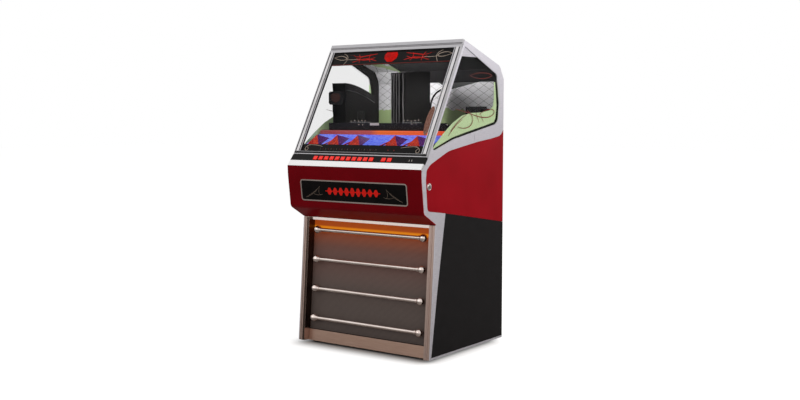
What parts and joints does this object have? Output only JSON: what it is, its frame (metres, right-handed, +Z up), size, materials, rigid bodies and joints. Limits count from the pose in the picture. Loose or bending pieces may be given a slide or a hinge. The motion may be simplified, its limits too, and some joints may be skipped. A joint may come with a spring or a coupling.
{
  "type": "jukebox",
  "caption": "Upright record jukebox: leaning hinged glass over a lit title display, side windows, push buttons, barred grille, working record carriage inside",
  "frame": {"origin": "on the floor under the middle of the overall box", "axes": "+Z up, front towards -Y, the viewer's right towards +X"},
  "size_m": [0.803, 0.72, 1.493],
  "materials": {
    "side_trim_aluminium": "satin anodised band",
    "door_aluminium": "satin extruded and anodised",
    "red_panel": "gloss deep red",
    "black_panel": "satin black",
    "surround_steel": "brushed, warm grey",
    "chrome": "bright chrome plate",
    "door_glass": "clear printed sheet",
    "window_glass": "clear with a black rubber rim",
    "plywood": "raw ply",
    "pale_board": "pale satin with a dark lattice",
    "black_steel": "black stoved paint",
    "black_plastic": "moulded black",
    "plaque_black": "gloss black plate",
    "button_red": "lit red cap",
    "title_blue": "back-lit blue with red and purple blocks",
    "light_orange": "lit orange bar",
    "vinyl": "pressed record with grooves",
    "speaker_cone": "black pulp cone",
    "bare_aluminium": "cast and turned",
    "bright_steel": "turned bright steel"
  },
  "bodies": {
    "cabinet": {"side_trim_left": "side_trim_aluminium", "side_trim_right": "side_trim_aluminium", "header_rail": "door_aluminium", "ledge_trim": "door_aluminium", "side_panel_left": "red_panel", "side_panel_right": "red_panel", "front_panel": "red_panel", "lower_side_panel_left": "black_panel", "lower_side_panel_right": "black_panel", "roof_panel": "black_panel", "front_surround": "surround_steel", "grille_bar_1": "chrome", "grille_bar_2": "chrome", "grille_bar_3": "chrome", "grille_bar_4": "chrome", "grille_top_trim": "chrome", "plaque_bezel": "chrome", "carriage_rail_front": "chrome", "carriage_rail_rear": "chrome", "side_window_left": "window_glass", "side_window_right": "window_glass", "side_board_left": "plywood", "side_board_right": "plywood", "base_board": "plywood", "speaker_baffle": "plywood", "back_panel": "pale_board", "service_cover": "black_steel", "mech_deck": "black_steel", "drive_motor": "black_steel", "amplifier": "black_steel", "grille_panel": "black_steel", "control_panel": "black_plastic", "rack_left": "black_plastic", "rack_right": "black_plastic", "plaque_plate": "plaque_black", "title_panel": "title_blue", "title_light_bar": "light_orange", "woofer_left": "speaker_cone", "woofer_right": "speaker_cone"},
    "door": {"door_frame": "door_aluminium", "door_glass": "door_glass"},
    "lock": {"lock_barrel": "chrome"},
    "carriage_unit": {"carriage": "black_steel"},
    "turntable_unit": {"turntable": "bare_aluminium", "played_record": "vinyl"},
    "clamp": {"record_clamp": "bright_steel"},
    "arm": {"tonearm": "bare_aluminium"},
    "button_01_key": {"button_01": "button_red"},
    "button_02_key": {"button_02": "button_red"},
    "button_03_key": {"button_03": "button_red"},
    "button_04_key": {"button_04": "button_red"},
    "button_05_key": {"button_05": "button_red"},
    "button_06_key": {"button_06": "button_red"},
    "button_07_key": {"button_07": "button_red"},
    "button_08_key": {"button_08": "button_red"},
    "button_09_key": {"button_09": "button_red"},
    "button_10_key": {"button_10": "button_red"},
    "button_11_key": {"button_11": "button_red"},
    "button_12_key": {"button_12": "button_red"},
    "button_13_key": {"button_13": "button_red"}
  },
  "joints": [
    {"name": "door_hinge", "type": "hinge", "parent": "cabinet", "child": "door", "pos_m": [0, -0.01994, 1.4706], "axis": [-1, 0, 0], "range_deg": [0, 65]},
    {"name": "lock_turn", "type": "hinge", "parent": "cabinet", "child": "lock", "pos_m": [0.4, -0.2947, 0.81248], "axis": [1, 0, 0], "range_deg": [0, 90]},
    {"name": "carriage_slide", "type": "slide", "parent": "cabinet", "child": "carriage_unit", "axis": [1, 0, 0], "range_m": [-0.19, 0.26]},
    {"name": "turntable_spin", "type": "hinge", "parent": "carriage_unit", "child": "turntable_unit", "pos_m": [-0.12, 0.25, 1.195], "axis": [1, 0, 0], "continuous": true},
    {"name": "clamp_slide", "type": "slide", "parent": "carriage_unit", "child": "clamp", "axis": [1, 0, 0], "range_m": [0, 0.008], "stiffness_N_per_m": 60, "springref_m": -0.004},
    {"name": "tonearm_swing", "type": "hinge", "parent": "carriage_unit", "child": "arm", "pos_m": [-0.12, 0.322, 1.12], "axis": [1, 0, 0], "range_deg": [0, 16]},
    {"name": "button_01_press", "type": "slide", "parent": "cabinet", "child": "button_01_key", "axis": [0, 0.7756, -0.6312], "range_m": [0, 0.003], "stiffness_N_per_m": 400, "springref_m": -0.001},
    {"name": "button_02_press", "type": "slide", "parent": "cabinet", "child": "button_02_key", "axis": [0, 0.7756, -0.6312], "range_m": [0, 0.003], "stiffness_N_per_m": 400, "springref_m": -0.001},
    {"name": "button_03_press", "type": "slide", "parent": "cabinet", "child": "button_03_key", "axis": [0, 0.7756, -0.6312], "range_m": [0, 0.003], "stiffness_N_per_m": 400, "springref_m": -0.001},
    {"name": "button_04_press", "type": "slide", "parent": "cabinet", "child": "button_04_key", "axis": [0, 0.7756, -0.6312], "range_m": [0, 0.003], "stiffness_N_per_m": 400, "springref_m": -0.001},
    {"name": "button_05_press", "type": "slide", "parent": "cabinet", "child": "button_05_key", "axis": [0, 0.7756, -0.6312], "range_m": [0, 0.003], "stiffness_N_per_m": 400, "springref_m": -0.001},
    {"name": "button_06_press", "type": "slide", "parent": "cabinet", "child": "button_06_key", "axis": [0, 0.7756, -0.6312], "range_m": [0, 0.003], "stiffness_N_per_m": 400, "springref_m": -0.001},
    {"name": "button_07_press", "type": "slide", "parent": "cabinet", "child": "button_07_key", "axis": [0, 0.7756, -0.6312], "range_m": [0, 0.003], "stiffness_N_per_m": 400, "springref_m": -0.001},
    {"name": "button_08_press", "type": "slide", "parent": "cabinet", "child": "button_08_key", "axis": [0, 0.7756, -0.6312], "range_m": [0, 0.003], "stiffness_N_per_m": 400, "springref_m": -0.001},
    {"name": "button_09_press", "type": "slide", "parent": "cabinet", "child": "button_09_key", "axis": [0, 0.7756, -0.6312], "range_m": [0, 0.003], "stiffness_N_per_m": 400, "springref_m": -0.001},
    {"name": "button_10_press", "type": "slide", "parent": "cabinet", "child": "button_10_key", "axis": [0, 0.7756, -0.6312], "range_m": [0, 0.003], "stiffness_N_per_m": 400, "springref_m": -0.001},
    {"name": "button_11_press", "type": "slide", "parent": "cabinet", "child": "button_11_key", "axis": [0, 0.7756, -0.6312], "range_m": [0, 0.003], "stiffness_N_per_m": 400, "springref_m": -0.001},
    {"name": "button_12_press", "type": "slide", "parent": "cabinet", "child": "button_12_key", "axis": [0, 0.7756, -0.6312], "range_m": [0, 0.003], "stiffness_N_per_m": 400, "springref_m": -0.001},
    {"name": "button_13_press", "type": "slide", "parent": "cabinet", "child": "button_13_key", "axis": [0, 0.7756, -0.6312], "range_m": [0, 0.003], "stiffness_N_per_m": 400, "springref_m": -0.001}
  ]
}
